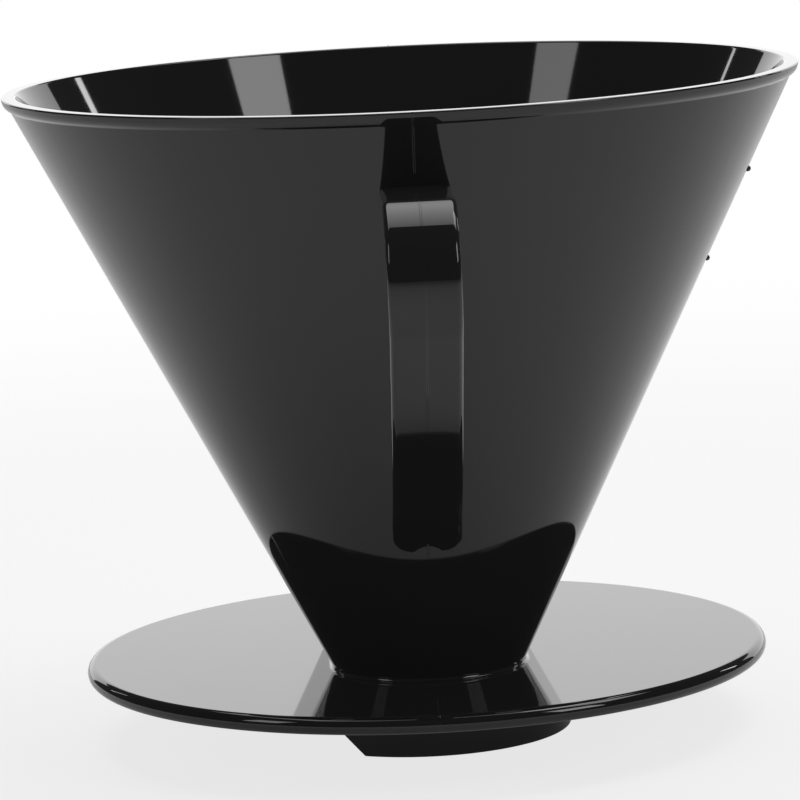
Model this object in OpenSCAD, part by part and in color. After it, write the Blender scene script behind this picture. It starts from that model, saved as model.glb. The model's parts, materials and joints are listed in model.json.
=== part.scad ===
/* [Wall] */
// Diameter over the lip at the top
rim_d = 130; // [110:1:160]
// Height from the flange's top face to the top of the lip
cone_h = 94.5; // [80:0.5:110]
// Length of the wall's outline where it meets the flange
neck_length = 60.2; // [44:0.1:66]
// Width of the wall's outline where it meets the flange
neck_width = 31; // [26:0.1:38]
// Wall thickness, measured level
wall_t = 2; // [1.6:0.1:2.6]

/* [Lip] */
// Height of the lip, from its top to where its underside meets the wall
lip_h = 2.1; // [1.6:0.1:4]
// How far the lip stands out past the wall at its top
lip_proud = 0.35; // [0.2:0.05:1.5]
// Height of the lip's outer face, above the slanted underside
lip_face_h = 1.45; // [0.8:0.05:1.5]
// How far that face leans from upright
lip_lean = 14; // [5:1:20]
// Rounding of the lip's outer edges
lip_round = 0.25; // [0.1:0.05:0.4]
// Slope cut round the lip's inner top edge, measured on the top
lip_bevel = 0.5; // [0.2:0.1:0.9]

/* [Flange] */
// Diameter of the round flange that lies on the cup
flange_d = 112.4; // [90:0.2:140]
// Thickness of the flange, which is also the floor of the holder
flange_t = 2.8; // [2:0.1:4]

/* [Collar] */
// Outer diameter of the collar that centres the holder in a cup
collar_d = 47; // [38:0.5:54]
// Wall thickness of the collar
collar_t = 2; // [1.2:0.1:3]
// Height of the collar below the flange
collar_h = 11; // [6:0.5:16]
// Distance from the middle to the start of the slanted cut-away, at the foot
cutaway_x = 11.2; // [8:0.2:15]
// Slope of the cut-away against the table
cutaway_angle = 45; // [40:1:60]

/* [Handle] */
// Distance from the middle of the holder to the handle's outermost point
handle_r = 87.5; // [84:0.5:100]
// Width of the strap
strap_w = 11; // [8:0.5:14]
// Thickness of the strap
strap_t = 3; // [2:0.1:4]
// Rounding along the strap's edges
strap_round = 0.9; // [0.4:0.1:0.9]
// Drop from the top of the lip to the handle's top face
arm_drop_h = 11.7; // [8:0.1:18]
// Inner radius of the tight bend that ends the arm's flat top
shoulder_in_r = 0.3; // [0.2:0.1:1]
// How far that bend turns
shoulder_turn = 18; // [10:1:25]
// Outer radius of the wide corner that follows
corner_r = 12; // [8:0.5:15]
// Drop from the handle's top face to the end of the leg's straight stretch
knee_drop_h = 38.6; // [30:0.2:44]
// Level distance there from the wall to the strap's outer face
knee_gap = 18.2; // [14:0.1:26]
// Drop from the handle's top face to the height where the strap runs out on the wall
foot_drop_h = 59.2; // [52:0.2:64]
// How far the strap's end leans from upright where it runs out
end_lean = 25; // [23:1:32]
// Outer radius of the hollow bend before that end
hollow_r = 8; // [4:1:14]
// Rounding of that end's two corners, seen from the front
end_round = 2.4; // [1:0.1:3]

/* [Ribs inside] */
// Number of ribs on each flat side
side_ribs = 3; // [1:1:3]
// Distance between those ribs at the floor
rib_gap = 8; // [6:0.5:9]
// Number of ribs round each end
end_ribs = 5; // [3:1:7]
// Width of a rib at its crest
rib_w = 1.2; // [0.8:0.1:1.6]
// Width of a rib where it leaves the wall
rib_root_w = 1.7; // [1:0.1:2.4]
// How far a rib stands out from the wall at the floor
rib_proud = 0.8; // [0.4:0.1:1]
// Height of the ribs above the floor
rib_h = 58; // [30:1:64]

/* [Drip holes] */
// Number of drip holes in the floor
drip_count = 3; // [1:1:3]
// Diameter of a drip hole
drip_d = 4; // [2:0.5:5]
// Distance between the drip holes
drip_gap = 11; // [7:0.5:12]

/* [Pips on the wall] */
// Height of the upper pip above the flange
upper_pip_h = 77.4; // [72:0.2:88]
// Height of the lower pip above the flange
lower_pip_h = 63.2; // [56:0.2:70]
// Diameter of a pip
pip_d = 0.9; // [0.6:0.1:2]
// How far the pips lie from the middle, towards the handle
pip_y = 8.5; // [0:0.5:12]

/* [Hidden] */
$fn = 96;
loft_fn = 120;
lap = 0.01;
round_steps = 4;
shoulder_steps = 3;
corner_steps = 24;
belly_steps = 6;
hollow_steps = 6;
strap_sunk = 1;
cut_past = 1;
rib_root = 0.2;
rib_sunk = 1;
flange_z = collar_h + flange_t;
rim_z = flange_z + cone_h;
top_r = rim_d / 2 - lip_proud;
end_r = neck_width / 2;
end_offset = (neck_length - neck_width) / 2;
side_slope = (top_r - end_r) / cone_h;

// The wall's section at height h over the flange is two round ends on straight sides:
// the ends grow and draw together with height, until they are one circle at the lip.
function end_radius(h) = end_r + side_slope * h;
function end_place(h) = end_offset * (1 - h / cone_h);
function front_y(h) = -end_place(h) - end_radius(h);

// The strap's path lies in the plane x = 0 and is told by the lean of its outer face:
// 0 faces up, 90 faces away from the holder. Points are [y, z] on that outer face.
function outward(lean) = [-sin(lean), cos(lean)];
function along(lean) = [-cos(lean), -sin(lean)];
foot_lean = 90 + end_lean;
handle_top = cone_h - arm_drop_h;
knee_h = handle_top - knee_drop_h;
foot_h = handle_top - foot_drop_h;
shoulder_r = strap_t + shoulder_in_r;
shoulder_rise = shoulder_r + (corner_r - shoulder_r) * cos(shoulder_turn);
corner_mid = [corner_r - handle_r, flange_z + handle_top - shoulder_rise];
shoulder_mid = corner_mid + (corner_r - shoulder_r) * outward(shoulder_turn);
arm_start = [front_y(handle_top) + wall_t, flange_z + handle_top];
knee = [front_y(knee_h) - knee_gap, flange_z + knee_h];
strap_end = [front_y(foot_h), flange_z + foot_h];
// The strap narrows from here on, and ends a little inside the wall.
narrow_start = strap_end + (strap_sunk - end_round) * along(foot_lean);
hollow_mid = narrow_start + hollow_r * outward(foot_lean);
// The straight stretch runs from the corner's arc to the knee and touches that arc.
to_knee = knee - corner_mid;
knee_lean = 180 + atan2(to_knee[0], -to_knee[1]) - acos(corner_r / norm(to_knee));
// From the knee a belly bends on inwards, and touches both that stretch and the hollow bend.
to_hollow = hollow_mid - knee;
hollow_side = to_hollow * outward(knee_lean);
belly_r = (norm(to_hollow) ^ 2 - hollow_r ^ 2) / (2 * (hollow_r - hollow_side));
belly_mid = knee - belly_r * outward(knee_lean);
from_belly = (hollow_mid - belly_mid) / (belly_r + hollow_r);
low_lean = atan2(-from_belly[0], from_belly[1]);

module wall_section(h, inset) {
    for (side = [-1, 1])
        translate([0, side * end_place(h)]) circle(r = end_radius(h) - inset, $fn = loft_fn);
}

module loft(low, high, inset) {
    hull() {
        translate([0, 0, flange_z + low]) linear_extrude(lap) wall_section(low, inset);
        translate([0, 0, flange_z + high - lap]) linear_extrude(lap) wall_section(high, inset);
    }
}

// The lip reaches in past the wall here, and the hollow then cuts its inner face.
module lip() {
    inner_r = top_r - 2 * wall_t;
    outer_r = rim_d / 2;
    rotate_extrude()
        offset(r = lip_round, $fn = 24) offset(delta = -lip_round)
            polygon([
                [inner_r, rim_z - lip_h], [end_radius(cone_h - lip_h), rim_z - lip_h],
                [outer_r - lip_face_h * tan(lip_lean), rim_z - lip_face_h],
                [outer_r, rim_z], [inner_r, rim_z]
            ]);
}

// A cone through the circle where the bevel meets the lip's top. It starts inside the hollow.
module lip_inner_bevel() {
    edge_r = top_r - wall_t + lip_bevel;
    below = 3 * lip_bevel;
    translate([0, 0, rim_z - below])
        cylinder(r1 = edge_r - below, r2 = edge_r + lip_bevel, h = below + lip_bevel);
}

module flange() {
    edge_r = flange_t / 2;
    rotate_extrude() {
        translate([0, collar_h]) square([flange_d / 2 - edge_r, flange_t]);
        translate([flange_d / 2 - edge_r, collar_h + edge_r]) circle(r = edge_r);
    }
}

module collar() {
    difference() {
        cylinder(d = collar_d, h = collar_h + lap);
        translate([0, 0, -cut_past])
            cylinder(d = collar_d - 2 * collar_t, h = collar_h + 2 * cut_past);
        cutaway();
    }
}

// Takes off what lies outside a slanted plane, which rises from the foot on the -X side.
module cutaway() {
    rise = tan(cutaway_angle);
    far = collar_d;
    rotate([90, 0, 0]) linear_extrude(2 * collar_d, center = true)
        polygon([
            [cut_past / rise - cutaway_x, -cut_past], [-far, -cut_past],
            [-far, rise * (far - cutaway_x)]
        ]);
}

// The strap's section as points of [x, depth under the outer face], with rounded corners.
strap_corners = [[1, 0, 0], [-1, 0, 90], [-1, strap_t, 180], [1, strap_t, 270]];
strap_section = [
    for (corner = strap_corners, step = [0:round_steps])
        let (angle = corner[2] + 90 * step / round_steps,
             rounding_mid = [corner[0] * (strap_w / 2 - strap_round),
                             corner[1] == 0 ? strap_round : strap_t - strap_round])
        [rounding_mid[0] + strap_round * cos(angle), rounding_mid[1] - strap_round * sin(angle)]
];

// Stations along the path are [point, lean, narrowing]. The narrowing rounds the strap's end.
strap_stations = [
    [arm_start, 0, 0],
    for (i = [0:shoulder_steps])
        let (lean = shoulder_turn * i / shoulder_steps)
        [shoulder_mid + shoulder_r * outward(lean), lean, 0],
    for (i = [1:corner_steps])
        let (lean = shoulder_turn + (knee_lean - shoulder_turn) * i / corner_steps)
        [corner_mid + corner_r * outward(lean), lean, 0],
    for (i = [0:belly_steps])
        let (lean = knee_lean + (low_lean - knee_lean) * i / belly_steps)
        [belly_mid + belly_r * outward(lean), lean, 0],
    for (i = [1:hollow_steps])
        let (lean = low_lean + (foot_lean - low_lean) * i / hollow_steps)
        [hollow_mid - hollow_r * outward(lean), lean, 0],
    for (i = [1:round_steps])
        let (angle = 90 * i / round_steps)
        [narrow_start + end_round * sin(angle) * along(foot_lean),
         foot_lean, end_round * (1 - cos(angle))]
];

module handle() {
    sides = len(strap_section);
    last = len(strap_stations) - 1;
    polyhedron(
        points = [
            for (station = strap_stations, corner = strap_section)
                let (skin = station[0] - corner[1] * outward(station[1]))
                [corner[0] - sign(corner[0]) * station[2], skin[0], skin[1]]
        ],
        faces = [
            [for (k = [0:sides - 1]) k],
            for (i = [0:last - 1], k = [0:sides - 1])
                let (next = (k + 1) % sides)
                [i * sides + k, (i + 1) * sides + k, (i + 1) * sides + next, i * sides + next],
            [for (k = [sides - 1:-1:0]) last * sides + k]
        ]
    );
}

// A rib is a bar that leans back with height until its crest is level with the wall.
module rib(foot, top, inward) {
    face_level = inward / norm(inward);
    sunk_top = top - (rib_proud + rib_root) * face_level;
    run = sunk_top - foot;
    up = run / norm(run);
    lean_face = face_level - (face_level * up) * up;
    face = lean_face / norm(lean_face);
    side = cross(face, up);
    multmatrix([
        [side[0], face[0], up[0], foot[0]],
        [side[1], face[1], up[1], foot[1]],
        [side[2], face[2], up[2], foot[2]]
    ])
        linear_extrude(norm(run))
            polygon([
                [-rib_root_w / 2, -rib_root], [rib_root_w / 2, -rib_root],
                [rib_w / 2, rib_proud], [-rib_w / 2, rib_proud]
            ]);
}

// Points on the wall's inner face: on a flat side, and round an end at an angle from the middle.
function flat_point(side, y, h) =
    [side * (end_radius(h) - wall_t), y * (1 - h / cone_h), flange_z + h];
function end_point(side, angle, h) =
    [(end_radius(h) - wall_t) * sin(angle),
     side * (end_place(h) + (end_radius(h) - wall_t) * cos(angle)), flange_z + h];

module ribs() {
    for (side = [-1, 1]) {
        for (i = [0:side_ribs - 1]) {
            y = (i - (side_ribs - 1) / 2) * rib_gap;
            rib(flat_point(side, y, -rib_sunk), flat_point(side, y, rib_h), [-side, 0, 0]);
        }
        for (i = [0:end_ribs - 1]) {
            angle = (i - (end_ribs - 1) / 2) * 180 / end_ribs;
            rib(end_point(side, angle, -rib_sunk), end_point(side, angle, rib_h),
                [-sin(angle), -side * cos(angle), 0]);
        }
    }
}

module drip_holes() {
    for (i = [0:drip_count - 1])
        translate([0, (i - (drip_count - 1) / 2) * drip_gap, collar_h - cut_past])
            cylinder(d = drip_d, h = flange_t + 2 * cut_past);
}

module pip(h) {
    past_end = pip_y - end_place(h);
    translate([sqrt(end_radius(h) ^ 2 - past_end ^ 2), -pip_y, flange_z + h]) sphere(d = pip_d);
}

module filter_holder() {
    color([0.05, 0.05, 0.055]) {
        difference() {
            union() {
                loft(-flange_t / 2, cone_h - lip_h / 2, 0);
                lip();
                flange();
                handle();
            }
            loft(0, cone_h + cut_past, wall_t);
            lip_inner_bevel();
            drip_holes();
        }
        collar();
        ribs();
        pip(upper_pip_h);
        pip(lower_pip_h);
    }
}

filter_holder();
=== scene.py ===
import json
import math
import bmesh
import bpy
import numpy as np
from mathutils import Matrix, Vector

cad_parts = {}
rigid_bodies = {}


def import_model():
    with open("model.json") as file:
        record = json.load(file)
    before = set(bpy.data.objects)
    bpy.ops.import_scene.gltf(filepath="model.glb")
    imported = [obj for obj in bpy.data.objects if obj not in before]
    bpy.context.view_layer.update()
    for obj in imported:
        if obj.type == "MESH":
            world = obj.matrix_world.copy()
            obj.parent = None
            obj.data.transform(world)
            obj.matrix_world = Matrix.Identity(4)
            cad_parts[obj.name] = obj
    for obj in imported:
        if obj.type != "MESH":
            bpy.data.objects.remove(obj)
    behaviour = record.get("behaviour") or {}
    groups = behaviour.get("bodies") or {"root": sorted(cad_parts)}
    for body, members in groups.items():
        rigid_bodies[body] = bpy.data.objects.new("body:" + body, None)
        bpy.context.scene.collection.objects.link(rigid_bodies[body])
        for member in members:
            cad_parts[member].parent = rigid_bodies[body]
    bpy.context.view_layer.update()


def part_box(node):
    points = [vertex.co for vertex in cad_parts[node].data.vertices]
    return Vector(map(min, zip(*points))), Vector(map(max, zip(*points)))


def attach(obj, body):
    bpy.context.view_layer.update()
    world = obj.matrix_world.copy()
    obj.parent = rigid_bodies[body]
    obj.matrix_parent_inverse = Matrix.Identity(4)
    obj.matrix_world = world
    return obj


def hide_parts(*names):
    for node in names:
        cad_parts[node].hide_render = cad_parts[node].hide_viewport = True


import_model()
mm = 0.001
# z = 0 is the collar's foot, the z axis runs through the middle of the lip, and the handle points to -Y
holderLow, holderHigh = (np.array(corner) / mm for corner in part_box("filter_holder"))
print("frame loaded, box in mm", holderLow.round(1), holderHigh.round(1))


# the moulding in millimetres: its reach and its top come from the frame's box
wall = {
    "lipRadius": holderHigh[0],
    "top": holderHigh[2],
    "coneHeight": 94.5,
    "neckLength": 60.2,  # the long section where the wall meets the flange
    "neckWidth": 31.0,
    "thickness": 2.0,
    "lipHeight": 2.1,
    "lipProud": 0.35,
    "lipFace": 1.45,
    "lipLean": 14.0,
    "lipRound": 0.25,
    "lipBelly": 1.5,
    "lipFootRound": 0.2,
    "lipInnerRound": 0.45,
    "footFillet": 0.5,
    "floorFillet": 0.8,
}
flange = {"radius": 56.2, "thickness": 2.8, "firstRing": 3.0, "lastRing": 4.0}
collar = {
    "radius": 23.5,
    "thickness": 2.0,
    "height": 11.0,
    "edgeRound": 0.25,
    "cutawayStart": 11.2,
    "cutawayAngle": 45.0,
}
# armDrop is from the lip's top to the outer face of the strap's arm, and the other drops are from there
handle = {
    "reach": -holderLow[1],
    "width": 11.0,
    "thickness": 3.0,
    "edgeRound": 0.9,
    "armDrop": 11.7,
    "shoulderInside": 0.3,
    "shoulderTurn": 18.0,
    "cornerRadius": 12.0,
    "kneeDrop": 38.6,
    "kneeGap": 18.2,  # from the wall to the outer face
    "footDrop": 59.2,
    "endLean": 25.0,
    "hollowRadius": 8.0,
    "endRound": 2.4,
    "sunk": 1.0,
    "outside": 0.5,
}
strapRows = {"shoulder": 13, "corner": 65, "belly": 25, "hollow": 17, "end": 9}
ribs = {
    "onSide": 3,
    "gap": 8.0,
    "onEnd": 5,
    "width": 1.2,
    "rootWidth": 1.7,
    "proud": 0.8,
    "root": 0.2,
    "sunk": 1.0,
    "height": 58.0,
    "crestRound": 0.3,
    "crestSteps": 5,
}
dripHoles = {"count": 3, "diameter": 4.0, "gap": 11.0, "edgeRound": 0.3, "columns": 64, "arcRows": 7}
pips = {
    "heights": (77.4, 63.2),
    "diameter": 1.0,
    "towardsHandle": 8.5,
    "proud": 0.12,
    "rows": 13,
    "columns": 24,
}
# the parting line is a low flat ridge: (level distance, height) as shares of its half width and height
seam = {
    "halfWidth": 0.16,
    "proud": 0.04,
    "ridge": ((-2, 0), (-1, 0), (-0.75, 1), (0.75, 1), (1, 0), (2, 0)),
    "room": 0.47,  # most that the half width may take of the turn to the next column
}
detail = {
    "endColumns": 70,
    "sideColumns": 10,
    "arcSteps": 8,
    "wallRows": 12,
    "longStretch": 20.0,
    "support": 0.12,
    "sharpAngle": 32.0,
    "pastCut": 1.0,  # cutters go on past the faces that they cut
}

flangeTop = collar["height"] + flange["thickness"]
topRadius = wall["lipRadius"] - wall["lipProud"]
endRadius = wall["neckWidth"] / 2
endOffset = (wall["neckLength"] - wall["neckWidth"]) / 2
sideSlope = (topRadius - endRadius) / wall["coneHeight"]


def radiusAt(height):
    # radius of the wall's round ends grows in proportion to the height above the flange
    return endRadius + sideSlope * height


def offsetAt(height):
    # the two round ends draw together in proportion to the height, and are one circle at the top
    return endOffset * (1 - np.clip(height / wall["coneHeight"], 0, 1))


def frontAt(height):
    # y of the wall's outer face in the middle of the handle's side
    return -offsetAt(height) - radiusAt(height)


def roundedProfile(corners, steps):
    # corners are (r, z, rounding): each rounding is an arc that touches both of the corner's sides
    points = [np.array(corners[0][:2])]
    for before, corner, after in zip(corners, corners[1:], corners[2:]):
        tip = np.array(corner[:2])
        if corner[2] == 0:
            points.append(tip)
            continue
        inDirection = tip - np.array(before[:2])
        outDirection = np.array(after[:2]) - tip
        inDirection = inDirection / np.linalg.norm(inDirection)
        outDirection = outDirection / np.linalg.norm(outDirection)
        turn = math.acos(np.clip(inDirection @ outDirection, -1, 1))
        start = tip - inDirection * corner[2] * math.tan(turn / 2)
        side = np.array([-inDirection[1], inDirection[0]])
        side = side * np.sign(side @ outDirection)
        middle = start + side * corner[2]
        for angle in np.linspace(0, turn, steps + 1):
            points.append(middle + corner[2] * (inDirection * math.sin(angle) - side * math.cos(angle)))
    points.append(np.array(corners[-1][:2]))
    return np.array(points)


def supported(profile, distance):
    # every stretch longer than four times the distance gets a row close to each of its ends
    points = [profile[0]]
    for start, end in zip(profile, profile[1:]):
        length = np.linalg.norm(end - start)
        if length > 4 * distance:
            step = (end - start) * distance / length
            points += [start + step, end - step]
        points.append(end)
    return np.array(points)


def wallSpread(profile, rows):
    # the long wall stretch is cut into even rows, so that no face is a needle
    points = [profile[0]]
    for start, end in zip(profile, profile[1:]):
        if np.linalg.norm(end - start) > detail["longStretch"]:
            points += [start + (end - start) * share for share in np.linspace(0, 1, rows + 1)[1:-1]]
        points.append(end)
    return np.array(points)


def makeMesh(name, vertices, faces):
    # vertices come in millimetres
    mesh = bpy.data.meshes.new(name)
    mesh.from_pydata((vertices * mm).tolist(), [], faces)
    return mesh


def gridFaces(rowCount, columnCount):
    # quads between neighbouring rings, closed round the columns
    row, column = np.meshgrid(np.arange(rowCount - 1), np.arange(columnCount), indexing="ij")
    nextColumn = (column + 1) % columnCount
    quads = np.stack(
        [
            row * columnCount + column,
            row * columnCount + nextColumn,
            (row + 1) * columnCount + nextColumn,
            (row + 1) * columnCount + column,
        ],
        axis=-1,
    )
    return quads.reshape(-1, 4).tolist()


def addObject(name, vertices, faces):
    # points that lie in one place, such as a pole's, are merged, and all faces turn outwards
    mesh = makeMesh(name, vertices, faces)
    edit = bmesh.new()
    edit.from_mesh(mesh)
    bmesh.ops.remove_doubles(edit, verts=edit.verts, dist=1e-4 * mm)
    bmesh.ops.recalc_face_normals(edit, faces=edit.faces)
    edit.to_mesh(mesh)
    edit.free()
    piece = bpy.data.objects.new(name, mesh)
    bpy.context.scene.collection.objects.link(piece)
    return piece


def columnAngles():
    # angle is the wall's turn from the handle's side, place lies along its straight side (1 front end,
    # -1 back end), and even is the turn of the same columns on the round flange and collar
    ends = detail["endColumns"]
    sides = detail["sideColumns"]
    quarter = np.linspace(0, math.pi / 2, ends + 1)
    straight = np.linspace(1, -1, sides + 2)
    angle = np.concatenate([quarter, np.full(sides, math.pi / 2), math.pi / 2 + quarter])
    place = np.concatenate([np.ones(ends + 1), straight[1:-1], -np.ones(ends + 1)])
    half = len(angle) - 1
    angle = np.concatenate([angle, math.pi + angle[1:-1]])
    place = np.concatenate([place, -place[1:-1]])
    evenHalf = np.linspace(0, math.pi, half + 1)
    even = np.concatenate([evenHalf, math.pi + evenHalf[1:-1]])
    return angle, place, even


def bodyRings():
    # the whole wall, lip, flange and collar as one closed profile of (r, z), from the floor's middle
    # inside to the same place underneath; its first part belongs to the wall, the rest is round
    foot = flangeTop
    top = wall["top"]
    lipBottom = top - wall["lipHeight"]
    lipBottomRadius = radiusAt(wall["coneHeight"] - wall["lipHeight"])
    bellyRadius = wall["lipRadius"] - wall["lipFace"] * math.tan(math.radians(wall["lipLean"]))
    belly = top - wall["lipFace"]
    # a hair less than half the thickness, so that the edge's two arcs don't meet in one point
    edge = flange["thickness"] / 2 * 0.999
    small = collar["edgeRound"]
    inner = wall["thickness"]
    inside = [
        (0.0, foot, 0),
        (endRadius - inner, foot, wall["floorFillet"]),
        (topRadius - inner, top, wall["lipInnerRound"]),
        (wall["lipRadius"], top, wall["lipRound"]),
        (bellyRadius, belly, wall["lipBelly"]),
        (lipBottomRadius, lipBottom, wall["lipFootRound"]),
        (endRadius, foot, wall["footFillet"]),
        (endRadius + flange["firstRing"], foot, 0),
    ]
    outside = [
        (flange["radius"] - flange["lastRing"], foot, 0),
        (flange["radius"], foot, edge),
        (flange["radius"], collar["height"], edge),
        (collar["radius"], collar["height"], small),
        (collar["radius"], 0.0, small),
        (collar["radius"] - collar["thickness"], 0.0, small),
        (collar["radius"] - collar["thickness"], collar["height"], small),
        (0.0, collar["height"], 0),
    ]
    stadium = supported(roundedProfile(inside, detail["arcSteps"]), detail["support"])
    stadium = wallSpread(stadium, detail["wallRows"])
    circle = supported(roundedProfile(outside, detail["arcSteps"]), detail["support"])
    rings = np.concatenate([stadium, circle])
    isCircle = np.arange(len(rings)) >= len(stadium)

    offset = np.where(isCircle, 0.0, offsetAt(rings[:, 1] - foot))
    # the lip's face is round all the way, and its underside leads from there back to the wall
    pastWall = (rings[:, 1] > lipBottom) & (rings[:, 0] > radiusAt(rings[:, 1] - foot) + 0.02)
    towardsWall = np.clip((bellyRadius - rings[:, 0]) / (bellyRadius - lipBottomRadius), 0, 1)
    offset = np.where(pastWall, offset * towardsWall, offset)
    return rings, isCircle, offset


def bodyGrid():
    # each ring of the profile goes round the holder: x = r sin(turn), y = -offset - r cos(turn), where the
    # offset holds the wall's two round ends apart and is nothing on the round parts
    rings, isCircle, offset = bodyRings()
    angle, place, even = columnAngles()
    backIndex = int(np.argmin(abs(angle - math.pi)))
    # seam columns stand at the middle of the front and the back, and draw together near the axis, so
    # that they never pass the columns beside them
    room = seam["room"] * np.where(isCircle, even[1], angle[1])
    seamTurn = np.minimum(seam["halfWidth"] / np.maximum(rings[:, 0], 1e-6), room)
    columns = []

    def addSeam(middle, end):
        for across, height in seam["ridge"]:
            columns.append((middle + across * seamTurn, np.full(len(rings), end), height))

    def addSide(first, last):
        for column in range(first, last):
            turn = np.where(isCircle, even[column], angle[column])
            columns.append((turn, np.full(len(rings), place[column]), 0.0))

    addSeam(0.0, 1.0)
    addSide(1, backIndex)
    addSeam(math.pi, -1.0)
    addSide(backIndex + 1, len(angle))
    turn = np.array([column[0] for column in columns]).T
    sidePlace = np.array([column[1] for column in columns]).T
    raised = np.array([column[2] for column in columns])

    # the seam's ridge stands out along the profile's normal, from the lip's face to the collar's foot
    tangent = np.gradient(rings, axis=0)
    tangent /= np.linalg.norm(tangent, axis=1)[:, None]
    normal = np.stack([-tangent[:, 1], tangent[:, 0]], axis=1)
    outerFirst = int(np.argmax(rings[:, 0] > topRadius))
    onCollar = (rings[:, 0] > collar["radius"] - 0.01) & (rings[:, 1] < collar["height"])
    outerLast = int(np.nonzero(onCollar)[0][-1])
    ridge = np.zeros(len(rings))
    ridge[outerFirst:outerLast] = seam["proud"]
    r = rings[:, 0][:, None] + ridge[:, None] * raised * normal[:, 0][:, None]
    z = rings[:, 1][:, None] + ridge[:, None] * raised * normal[:, 1][:, None]
    x = r * np.sin(turn)
    y = -sidePlace * offset[:, None] - r * np.cos(turn)
    vertices = np.stack([x, y, np.broadcast_to(z, x.shape)], axis=-1).reshape(-1, 3)
    return vertices, gridFaces(len(rings), len(columns))


def outward(lean):
    # the strap's path is told by the lean of its outer face: 0 faces up, 90 faces away from the holder
    return np.array([-math.sin(math.radians(lean)), math.cos(math.radians(lean))])


def along(lean):
    # the way that the path runs on at that lean, square to its outward direction
    return np.array([-math.cos(math.radians(lean)), -math.sin(math.radians(lean))])


def strapStations():
    # stations are (point on the outer face as y and z, lean, narrowing of the width): arcs have points
    # at middle + radius * outward(lean), and straight stretches at even shares of their length
    radius, hollow = handle["cornerRadius"], handle["hollowRadius"]
    turn, endLean = handle["shoulderTurn"], 90 + handle["endLean"]
    topHeight = wall["coneHeight"] - handle["armDrop"]
    kneeHeight = topHeight - handle["kneeDrop"]
    footHeight = topHeight - handle["footDrop"]
    shoulder = handle["thickness"] + handle["shoulderInside"]
    rise = shoulder + (radius - shoulder) * math.cos(math.radians(turn))
    cornerMiddle = np.array([radius - handle["reach"], flangeTop + topHeight - rise])
    shoulderMiddle = cornerMiddle + (radius - shoulder) * outward(turn)
    shoulderStart = shoulderMiddle + shoulder * outward(0)
    armStart = np.array([frontAt(topHeight) + handle["sunk"], flangeTop + topHeight])
    knee = np.array([frontAt(kneeHeight) - handle["kneeGap"], flangeTop + kneeHeight])
    strapEnd = np.array([frontAt(footHeight), flangeTop + footHeight])
    endRound = handle["endRound"]
    narrowStart = strapEnd + (handle["sunk"] - endRound) * along(endLean)
    hollowMiddle = narrowStart + hollow * outward(endLean)
    # the straight stretch touches the corner's arc and ends at the knee
    toKnee = knee - cornerMiddle
    kneeTurn = math.atan2(toKnee[0], -toKnee[1]) - math.acos(radius / np.linalg.norm(toKnee))
    kneeLean = 180 + math.degrees(kneeTurn)
    cornerEnd = cornerMiddle + radius * outward(kneeLean)
    # a wide belly bends on inwards from the knee, and touches that stretch and the hollow bend
    toHollow = hollowMiddle - knee
    bellyRadius = (toHollow @ toHollow - hollow**2) / (2 * (hollow - toHollow @ outward(kneeLean)))
    bellyMiddle = knee - bellyRadius * outward(kneeLean)
    fromBelly = (hollowMiddle - bellyMiddle) / (bellyRadius + hollow)
    lowLean = math.degrees(math.atan2(-fromBelly[0], fromBelly[1]))

    shoulderLeans = np.linspace(0, turn, strapRows["shoulder"])
    cornerLeans = np.linspace(turn, kneeLean, strapRows["corner"])[1:]
    bellyLeans = np.linspace(kneeLean, lowLean, strapRows["belly"])
    hollowLeans = np.linspace(lowLean, endLean, strapRows["hollow"])[1:]
    armShares = (0, 0.1, 0.5, 0.97)
    stretchShares = (0.01, 0.25, 0.5, 0.75)
    stations = [(armStart + (shoulderStart - armStart) * share, 0, 0) for share in armShares]
    stations += [(shoulderMiddle + shoulder * outward(lean), lean, 0) for lean in shoulderLeans]
    stations += [(cornerMiddle + radius * outward(lean), lean, 0) for lean in cornerLeans]
    stations += [(cornerEnd + (knee - cornerEnd) * share, kneeLean, 0) for share in stretchShares]
    stations += [(bellyMiddle + bellyRadius * outward(lean), lean, 0) for lean in bellyLeans]
    stations += [(hollowMiddle - hollow * outward(lean), lean, 0) for lean in hollowLeans]
    for angle in np.linspace(0, math.pi / 2, strapRows["end"])[1:]:
        point = narrowStart + endRound * math.sin(angle) * along(endLean)
        stations.append((point, endLean, endRound * (1 - math.cos(angle))))
    return stations


def strapSection():
    # rounded rectangle as (x, depth under the outer face), with the seam's ridge in the middle of both
    # faces, and a point close to each rounding
    half, depth, rounding = handle["width"] / 2, handle["thickness"], handle["edgeRound"]
    flat = half - rounding - detail["support"]
    ridge = [(across * seam["halfWidth"], height * seam["proud"]) for across, height in seam["ridge"]]
    points = []
    for side, level, start in ((1, 0, 0), (-1, 0, 90), (-1, depth, 180), (1, depth, 270)):
        middle = np.array([side * (half - rounding), rounding if level == 0 else depth - rounding])
        arc = np.radians(np.linspace(start, start + 90, detail["arcSteps"] + 1))
        points += [middle + rounding * np.array([math.cos(a), -math.sin(a)]) for a in arc]
        if side == 1 and level == 0:
            points += [np.array([flat, 0])]
            points += [np.array([across, -height]) for across, height in reversed(ridge)]
            points += [np.array([-flat, 0])]
        if side == -1 and level == depth:
            points += [np.array([-flat, depth])]
            points += [np.array([across, depth + height]) for across, height in ridge]
            points += [np.array([flat, depth])]
    return np.array(points)


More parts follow.
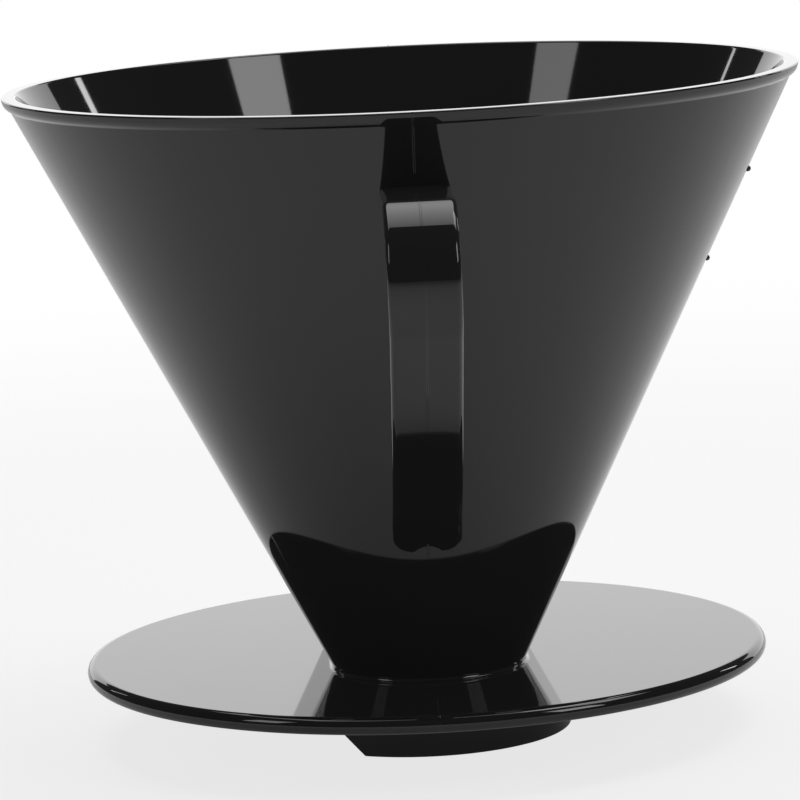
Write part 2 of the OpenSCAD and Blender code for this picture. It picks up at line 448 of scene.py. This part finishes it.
def handleGrid():
    # the section is carried along the stations, square to the path, and its ends are sunk in the wall
    section = strapSection()
    rows = []
    for point, lean, narrowing in strapStations():
        place = point - section[:, 1][:, None] * outward(lean)
        x = section[:, 0] - np.sign(section[:, 0]) * np.minimum(narrowing, abs(section[:, 0]))
        rows.append(np.column_stack([x, place]))
    rows = np.array(rows)
    # the arm's first two rings follow the wall's slope, one within the wall and one outside it
    rows[0, :, 1] = frontAt(rows[0, :, 2] - flangeTop) + handle["sunk"]
    rows[1, :, 1] = frontAt(rows[1, :, 2] - flangeTop) - handle["outside"]
    count = section.shape[0]
    faces = gridFaces(len(rows), count)
    faces.append(list(range(count)))
    faces.append([(len(rows) - 1) * count + k for k in range(count - 1, -1, -1)])
    return rows.reshape(-1, 3), faces


def ribGrid(foot, top, inward):
    # a straight bar whose crest starts proud of the wall at the foot and is level with it at the top
    faceLevel = inward / np.linalg.norm(inward)
    run = top - (ribs["proud"] + ribs["root"]) * faceLevel - foot
    up = run / np.linalg.norm(run)
    face = faceLevel - (faceLevel @ up) * up
    face /= np.linalg.norm(face)
    side = np.cross(face, up)
    crest, rounding = ribs["width"] / 2, ribs["crestRound"]
    root = ribs["rootWidth"] / 2
    corners = [
        (-root, -ribs["root"], 0),
        (-crest, ribs["proud"], rounding),
        (crest, ribs["proud"], rounding),
        (root, -ribs["root"], 0),
    ]
    section = roundedProfile(corners, ribs["crestSteps"])
    rows = [foot + s * side + f * face for s, f in section]
    rows += [foot + run + s * side + f * face for s, f in section]
    count = len(section)
    faces = gridFaces(2, count)
    faces.append(list(range(count)))
    faces.append([count + k for k in range(count - 1, -1, -1)])
    return np.array(rows), faces


def ribPoint(height, side, across, turn):
    # point of the wall's inner face: on the straight side where turn is None, and on a round end otherwise;
    # what lies along Y draws in with the height as the wall's ends do
    reach = radiusAt(height) - wall["thickness"]
    drawnIn = 1 - height / wall["coneHeight"]
    if turn is None:
        return np.array([side * reach, across * drawnIn, flangeTop + height])
    y = side * (endOffset * drawnIn + reach * math.cos(turn))
    return np.array([reach * math.sin(turn), y, flangeTop + height])


def allRibs():
    # each rib runs straight up the inner face from under the floor to its top
    low, high = -ribs["sunk"], ribs["height"]
    made = []
    for side in (-1, 1):
        for i in range(ribs["onSide"]):
            across = (i - (ribs["onSide"] - 1) / 2) * ribs["gap"]
            foot, top = (ribPoint(height, side, across, None) for height in (low, high))
            made.append(ribGrid(foot, top, np.array([-side, 0.0, 0.0])))
        for i in range(ribs["onEnd"]):
            turn = math.radians((i - (ribs["onEnd"] - 1) / 2) * 180 / ribs["onEnd"])
            foot, top = (ribPoint(height, side, 0.0, turn) for height in (low, high))
            made.append(ribGrid(foot, top, np.array([-math.sin(turn), -side * math.cos(turn), 0.0])))
    return made


def turned(profile, middle, columns):
    # a profile of (r, z) turned round an upright axis through middle, closed at both poles
    angle = np.linspace(0, 2 * math.pi, columns, endpoint=False)
    x = middle[0] + profile[:, :1] * np.cos(angle)
    y = middle[1] + profile[:, :1] * np.sin(angle)
    z = np.broadcast_to(profile[:, 1:], x.shape)
    return np.stack([x, y, z], axis=-1).reshape(-1, 3), gridFaces(len(profile), columns)


def holeCutters():
    # each cutter flares at both faces of the floor, which rounds the edges of the hole
    radius, rounding = dripHoles["diameter"] / 2, dripHoles["edgeRound"]
    low, high = collar["height"], flangeTop
    past, wide = detail["pastCut"], radius + rounding
    arc = np.linspace(0, math.pi / 2, dripHoles["arcRows"])
    narrowing, widening = rounding * (1 - np.sin(arc)), rounding * (1 - np.cos(arc))
    lower = np.column_stack([radius + narrowing, low + widening])
    upper = np.column_stack([radius + widening, high - narrowing])
    bottom = [[0, low - past], [wide, low - past]]
    lid = [[wide, high + past], [0, high + past]]
    profile = np.concatenate([bottom, lower, upper, lid])
    made = []
    for i in range(dripHoles["count"]):
        y = (i - (dripHoles["count"] - 1) / 2) * dripHoles["gap"]
        made.append(turned(profile, (0, y), dripHoles["columns"]))
    return made


def cutawayWedge():
    # all that lies outside a slanted plane, which rises from the collar's foot on the -X side
    rise = math.tan(math.radians(collar["cutawayAngle"]))
    start, far, ceiling = collar["cutawayStart"], 2 * collar["radius"], collar["height"]
    under = -detail["pastCut"]
    slant = [[-start - under / rise, under], [-start - ceiling / rise, ceiling]]
    outline = slant + [[-far, ceiling], [-far, under]]
    rows = [[x, y, z] for y in (-far, far) for x, z in outline]
    faces = gridFaces(2, len(outline)) + [[0, 1, 2, 3], [7, 6, 5, 4]]
    return np.array(rows, float), faces


def pipBalls():
    # balls whose middles lie just outside the wall's round end: (y + offset)^2 + x^2 = radius^2
    made = []
    radius = pips["diameter"] / 2
    turn = np.linspace(-math.pi / 2, math.pi / 2, pips["rows"])
    for height in pips["heights"]:
        past = pips["towardsHandle"] - offsetAt(height)
        x = math.sqrt(radiusAt(height) ** 2 - past**2) + pips["proud"]
        profile = np.column_stack([radius * np.cos(turn), flangeTop + height + radius * np.sin(turn)])
        made.append(turned(profile, (x, -pips["towardsHandle"]), pips["columns"]))
    return made


def twoSlots(mesh, material):
    # the same finish twice: the slot only tells joined parts from the body
    for slot in range(2):
        mesh.materials.append(material)


def combine(piece, operation, parts, label):
    # joins or cuts with every part at once, and keeps the evaluated mesh
    group = bpy.data.collections.new(label)
    slot = int(operation == "UNION")
    for index, (vertices, faces) in enumerate(parts):
        part = addObject(f"{label}{index}", vertices, faces)
        twoSlots(part.data, piece.data.materials[0])
        part.data.polygons.foreach_set("material_index", [slot] * len(part.data.polygons))
        bpy.context.scene.collection.objects.unlink(part)
        group.objects.link(part)
    bpy.context.scene.collection.children.link(group)
    step = piece.modifiers.new(label, "BOOLEAN")
    step.operation = operation
    step.solver = "EXACT"
    step.operand_type = "COLLECTION"
    step.collection = group
    bpy.context.view_layer.update()
    evaluated = piece.evaluated_get(bpy.context.evaluated_depsgraph_get())
    mesh = bpy.data.meshes.new_from_object(evaluated)
    piece.modifiers.clear()
    old = piece.data
    piece.data = mesh
    bpy.data.meshes.remove(old)
    for part in list(group.objects):
        partMesh = part.data
        bpy.data.objects.remove(part)
        bpy.data.meshes.remove(partMesh)
    bpy.data.collections.remove(group)
    mesh.validate()


# injection moulded black plastic: almost a mirror, with a faint uneven skin
finish = {
    "colour": (0.0065, 0.0065, 0.0066),
    "refraction": 1.5,
    "paintedGlow": 0.003,  # painted glow: a faint even emission on the plastic stands in for scattered light, and keeps the blacks as open as in the photograph
    "roughness": (0.035, 0.06),
    "cloudScale": 90,
    "cloudDetail": 4,
    "skinScale": 220,
    "skinDetail": 2,
    "skinStrength": 0.02,
    "skinHeight": 0.02,
}


def glossyBlack():
    # one noise varies the roughness, and a finer one lifts the surface a little
    material = bpy.data.materials.new("glossy_black_plastic")
    material.use_nodes = True
    nodes, links = material.node_tree.nodes, material.node_tree.links
    shader = nodes["Principled BSDF"]
    shader.inputs["Base Color"].default_value = (*finish["colour"], 1)
    shader.inputs["IOR"].default_value = finish["refraction"]
    # painted glow: the plastic gives off a faint white light all over, though it is no lamp
    shader.inputs["Emission Color"].default_value = (1, 1, 1, 1)
    shader.inputs["Emission Strength"].default_value = finish["paintedGlow"]
    place = nodes.new("ShaderNodeTexCoord")
    cloud = nodes.new("ShaderNodeTexNoise")
    cloud.inputs["Scale"].default_value = finish["cloudScale"]
    cloud.inputs["Detail"].default_value = finish["cloudDetail"]
    links.new(place.outputs["Object"], cloud.inputs["Vector"])
    spread = nodes.new("ShaderNodeMapRange")
    spread.inputs["To Min"].default_value = finish["roughness"][0]
    spread.inputs["To Max"].default_value = finish["roughness"][1]
    links.new(cloud.outputs["Fac"], spread.inputs["Value"])
    links.new(spread.outputs["Result"], shader.inputs["Roughness"])
    skin = nodes.new("ShaderNodeTexNoise")
    skin.inputs["Scale"].default_value = finish["skinScale"]
    skin.inputs["Detail"].default_value = finish["skinDetail"]
    links.new(place.outputs["Object"], skin.inputs["Vector"])
    bump = nodes.new("ShaderNodeBump")
    bump.inputs["Strength"].default_value = finish["skinStrength"]
    bump.inputs["Distance"].default_value = finish["skinHeight"] * mm
    links.new(skin.outputs["Fac"], bump.inputs["Height"])
    links.new(bump.outputs["Normal"], shader.inputs["Normal"])
    return material


def markSharp(mesh):
    # edges are crisp past this angle, and where a joined part meets the body, however flat the angle
    mesh.set_sharp_from_angle(angle=math.radians(detail["sharpAngle"]))
    slots = {}
    for polygon in mesh.polygons:
        for key in polygon.edge_keys:
            slots.setdefault(key, set()).add(polygon.material_index)
    for edge in mesh.edges:
        if len(slots[edge.key]) > 1:
            edge.use_edge_sharp = True


def makeHolder():
    piece = addObject("moulded_holder", *bodyGrid())
    twoSlots(piece.data, glossyBlack())
    print("wall, flange and collar made,", len(piece.data.polygons), "faces")
    inside = allRibs()
    combine(piece, "UNION", [handleGrid()] + inside + pipBalls(), "joined")
    print("handle, ribs and pips joined,", len(piece.data.polygons), "faces")
    combine(piece, "DIFFERENCE", holeCutters() + [cutawayWedge()], "cut")
    print("drip holes and cut-away made,", len(piece.data.polygons), "faces")
    mesh = piece.data
    for polygon in mesh.polygons:
        polygon.use_smooth = True
    markSharp(mesh)
    # the second slot has done its work
    mesh.polygons.foreach_set("material_index", [0] * len(mesh.polygons))
    mesh.materials.pop()
    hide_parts("filter_holder")
    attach(piece, "root")
    return piece


def directionTo(azimuth, elevation):
    # azimuth turns from the handle's side towards +X, elevation rises from the level, both in degrees
    a, e = math.radians(azimuth), math.radians(elevation)
    return np.array([math.sin(a) * math.cos(e), -math.cos(a) * math.cos(e), math.sin(e)])


def putInPlace(thing, right, up, back, place):
    # the three directions become the thing's own axes, and the place in millimetres its origin
    matrix = np.eye(4)
    matrix[:3, 0], matrix[:3, 1], matrix[:3, 2], matrix[:3, 3] = right, up, back, place * mm
    thing.matrix_world = Matrix(matrix.tolist())
    bpy.context.scene.collection.objects.link(thing)


# the photograph's view: a long lens from the handle's side, rolled a little
view = {
    "sensorMm": 36,
    "lensMm": 215.325,
    "distance": 787.84,
    "elevation": 8.731,
    "azimuth": -1.341,
    "roll": -2.761,
    "aimX": -2.403,
    "aimZ": 41.11,
}


def makeCamera():
    # right, up and back directions of the camera come from its azimuth, elevation and roll
    azimuth, roll = math.radians(view["azimuth"]), math.radians(view["roll"])
    back = directionTo(view["azimuth"], view["elevation"])
    level = np.array([math.cos(azimuth), math.sin(azimuth), 0.0])
    upright = np.cross(back, level)
    right = math.cos(roll) * level + math.sin(roll) * upright
    up = math.cos(roll) * upright - math.sin(roll) * level
    data = bpy.data.cameras.new("camera")
    data.sensor_width = view["sensorMm"]
    data.lens = view["lensMm"]
    data.clip_start = 0.01
    camera = bpy.data.objects.new("camera", data)
    aim = view["aimX"] * level + np.array([0, 0, view["aimZ"] + flangeTop])
    putInPlace(camera, right, up, back, aim + view["distance"] * back)
    bpy.context.scene.camera = camera


# each softbox stands at an azimuth, elevation and distance from a point in millimetres, and faces it
softboxes = {
    "right_box": {
        "from": (-24, 55, 102),
        "azimuth": 49.3,
        "elevation": 25.2,
        "distance": 950,
        "width": 253,
        "height": 343,
        "radiance": 4.9,
    },
    "right_high_box": {
        "from": (0, 0, 0),
        "azimuth": 95,
        "elevation": 62,
        "distance": 800,
        "width": 320,
        "height": 320,
        "radiance": 3.4,
    },
    "left_box": {
        "from": (28, 54, 102),
        "azimuth": -58.0,
        "elevation": 25.2,
        "distance": 950,
        "width": 206,
        "height": 343,
        "radiance": 2.9,
    },
    "right_back_strip": {
        "from": (-52, 32, 105),
        "azimuth": 122.0,
        "elevation": 15.5,
        "distance": 900,
        "width": 42,
        "height": 173,
        "radiance": 7.0,
    },
    "left_back_strip": {
        "from": (55, 22, 104),
        "azimuth": -133.7,
        "elevation": 15.5,
        "distance": 900,
        "width": 20,
        "height": 173,
        "radiance": 4.4,
    },
}
# the light overhead is a row of strips, brightest in one strip and less bright to the front and the back
overhead = {
    "halfWidth": 420,
    "front": -205,
    "back": 760,
    "height": 900,
    "strips": 16,
    "brightest": 250,
    "radiance": 2.62,
    "frontLoss": 0.41,
}


def addLamp(name, place, target, width, height, radiance):
    # power = radiance * pi * area, which gives the lamp's own face that radiance
    data = bpy.data.lights.new(name, "AREA")
    data.shape = "RECTANGLE"
    data.size, data.size_y = width * mm, height * mm
    data.energy = radiance * math.pi * width * height * mm * mm
    lamp = bpy.data.objects.new(name, data)
    back = (place - target) / np.linalg.norm(place - target)
    # a lamp that faces straight down has no level direction of its own, and takes X
    straightDown = abs(back[2]) > 0.999
    level = np.array([1.0, 0.0, 0.0]) if straightDown else np.array([-back[1], back[0], 0.0])
    level = level / np.linalg.norm(level)
    lamp.visible_camera = False
    putInPlace(lamp, level, np.cross(back, level), back, place)


def makeLamps():
    for name, box in softboxes.items():
        start = np.array(box["from"], float)
        place = start + box["distance"] * directionTo(box["azimuth"], box["elevation"])
        addLamp(name, place, start, box["width"], box["height"], box["radiance"])
    depth = (overhead["back"] - overhead["front"]) / overhead["strips"]
    width = 2 * overhead["halfWidth"]
    for strip in range(overhead["strips"]):
        y = overhead["front"] + (strip + 0.5) * depth
        away = (y - overhead["brightest"]) / (overhead["front"] - overhead["brightest"])
        radiance = overhead["radiance"] * (1 - overhead["frontLoss"] * away**2)
        place = np.array([0.0, y, overhead["height"]])
        addLamp(f"overhead_strip{strip}", place, place * [1, 1, 0], width, depth, radiance)


backdrop = {"azimuthLow": 140, "azimuthHigh": 207, "top": 20, "radiance": 1.85, "room": 0.06}


def makeWorld():
    # white to the camera; all else sees a white backdrop behind the holder and a dim room
    world = bpy.data.worlds.new("studio")
    bpy.context.scene.world = world
    world.use_nodes = True
    nodes, links = world.node_tree.nodes, world.node_tree.links
    nodes.clear()
    place = nodes.new("ShaderNodeTexCoord")
    split = nodes.new("ShaderNodeSeparateXYZ")
    links.new(place.outputs["Generated"], split.inputs["Vector"])

    def step(operation, first, second):
        node = nodes.new("ShaderNodeMath")
        node.operation = operation
        for socket, value in zip(node.inputs, (first, second)):
            if isinstance(value, (int, float)):
                socket.default_value = value
            else:
                links.new(value, socket)
        return node.outputs[0]

    # the backdrop lies between two upright planes through the holder and below its top edge
    inside = step("LESS_THAN", split.outputs["Z"], math.sin(math.radians(backdrop["top"])))
    for azimuth, side in ((backdrop["azimuthLow"], 1), (backdrop["azimuthHigh"], -1)):
        a = math.radians(azimuth)
        # positive where the direction has turned past the low azimuth, or not yet past the high one
        acrossX = step("MULTIPLY", split.outputs["X"], math.cos(a) * side)
        acrossY = step("MULTIPLY", split.outputs["Y"], math.sin(a) * side)
        past = step("GREATER_THAN", step("ADD", acrossX, acrossY), 0.0)
        inside = step("MULTIPLY", inside, past)
    glow = step("MULTIPLY", inside, backdrop["radiance"] - backdrop["room"])
    glow = step("ADD", glow, backdrop["room"])
    rays = nodes.new("ShaderNodeLightPath")
    mix = nodes.new("ShaderNodeMix")
    links.new(rays.outputs["Is Camera Ray"], mix.inputs["Factor"])
    links.new(glow, mix.inputs["A"])
    mix.inputs["B"].default_value = 1.0
    light = nodes.new("ShaderNodeBackground")
    links.new(mix.outputs["Result"], light.inputs["Strength"])
    output = nodes.new("ShaderNodeOutputWorld")
    links.new(light.outputs["Background"], output.inputs["Surface"])


# the floor is pale paint; the camera sees it mixed with white, and nothing but white far from the holder
floor = {
    "left": -1500,
    "right": 1500,
    "front": -3000,
    "back": 2500,
    "colour": 0.8,
    "glossyLift": 0.14,  # added to the floor as the holder mirrors it
    "whiteNear": 0.78,
    "fadeStart": 200,
    "fadeEnd": 600,
}


def makeFloor():
    corners = [
        (floor["left"], floor["front"], 0),
        (floor["right"], floor["front"], 0),
        (floor["right"], floor["back"], 0),
        (floor["left"], floor["back"], 0),
    ]
    mesh = makeMesh("floor", np.array(corners, float), [[0, 1, 2, 3]])
    plane = bpy.data.objects.new("floor", mesh)
    bpy.context.scene.collection.objects.link(plane)
    material = bpy.data.materials.new("white_floor")
    material.use_nodes = True
    nodes, links = material.node_tree.nodes, material.node_tree.links
    nodes.clear()
    rays = nodes.new("ShaderNodeLightPath")
    paint = nodes.new("ShaderNodeBsdfDiffuse")
    paint.inputs["Color"].default_value = (floor["colour"],) * 3 + (1,)
    lift = nodes.new("ShaderNodeMath")
    lift.operation = "MULTIPLY"
    lift.inputs[1].default_value = floor["glossyLift"]
    links.new(rays.outputs["Is Glossy Ray"], lift.inputs[0])
    glow = nodes.new("ShaderNodeEmission")
    links.new(lift.outputs[0], glow.inputs["Strength"])
    lit = nodes.new("ShaderNodeAddShader")
    links.new(paint.outputs[0], lit.inputs[0])
    links.new(glow.outputs[0], lit.inputs[1])
    # the white's share grows with the distance from the holder
    place = nodes.new("ShaderNodeTexCoord")
    distance = nodes.new("ShaderNodeVectorMath")
    distance.operation = "LENGTH"
    links.new(place.outputs["Object"], distance.inputs[0])
    fade = nodes.new("ShaderNodeMapRange")
    fade.interpolation_type = "SMOOTHSTEP"
    fade.inputs["From Min"].default_value = floor["fadeStart"] * mm
    fade.inputs["From Max"].default_value = floor["fadeEnd"] * mm
    fade.inputs["To Min"].default_value = floor["whiteNear"]
    links.new(distance.outputs["Value"], fade.inputs["Value"])
    share = nodes.new("ShaderNodeMath")
    share.operation = "MULTIPLY"
    links.new(rays.outputs["Is Camera Ray"], share.inputs[0])
    links.new(fade.outputs["Result"], share.inputs[1])
    white = nodes.new("ShaderNodeEmission")
    mix = nodes.new("ShaderNodeMixShader")
    links.new(share.outputs[0], mix.inputs["Fac"])
    links.new(lit.outputs[0], mix.inputs[1])
    links.new(white.outputs[0], mix.inputs[2])
    output = nodes.new("ShaderNodeOutputMaterial")
    links.new(mix.outputs[0], output.inputs["Surface"])
    mesh.materials.append(material)


makeHolder()
makeCamera()
makeLamps()
makeWorld()
makeFloor()
bpy.context.scene.view_settings.view_transform = "Standard"
print("studio made")
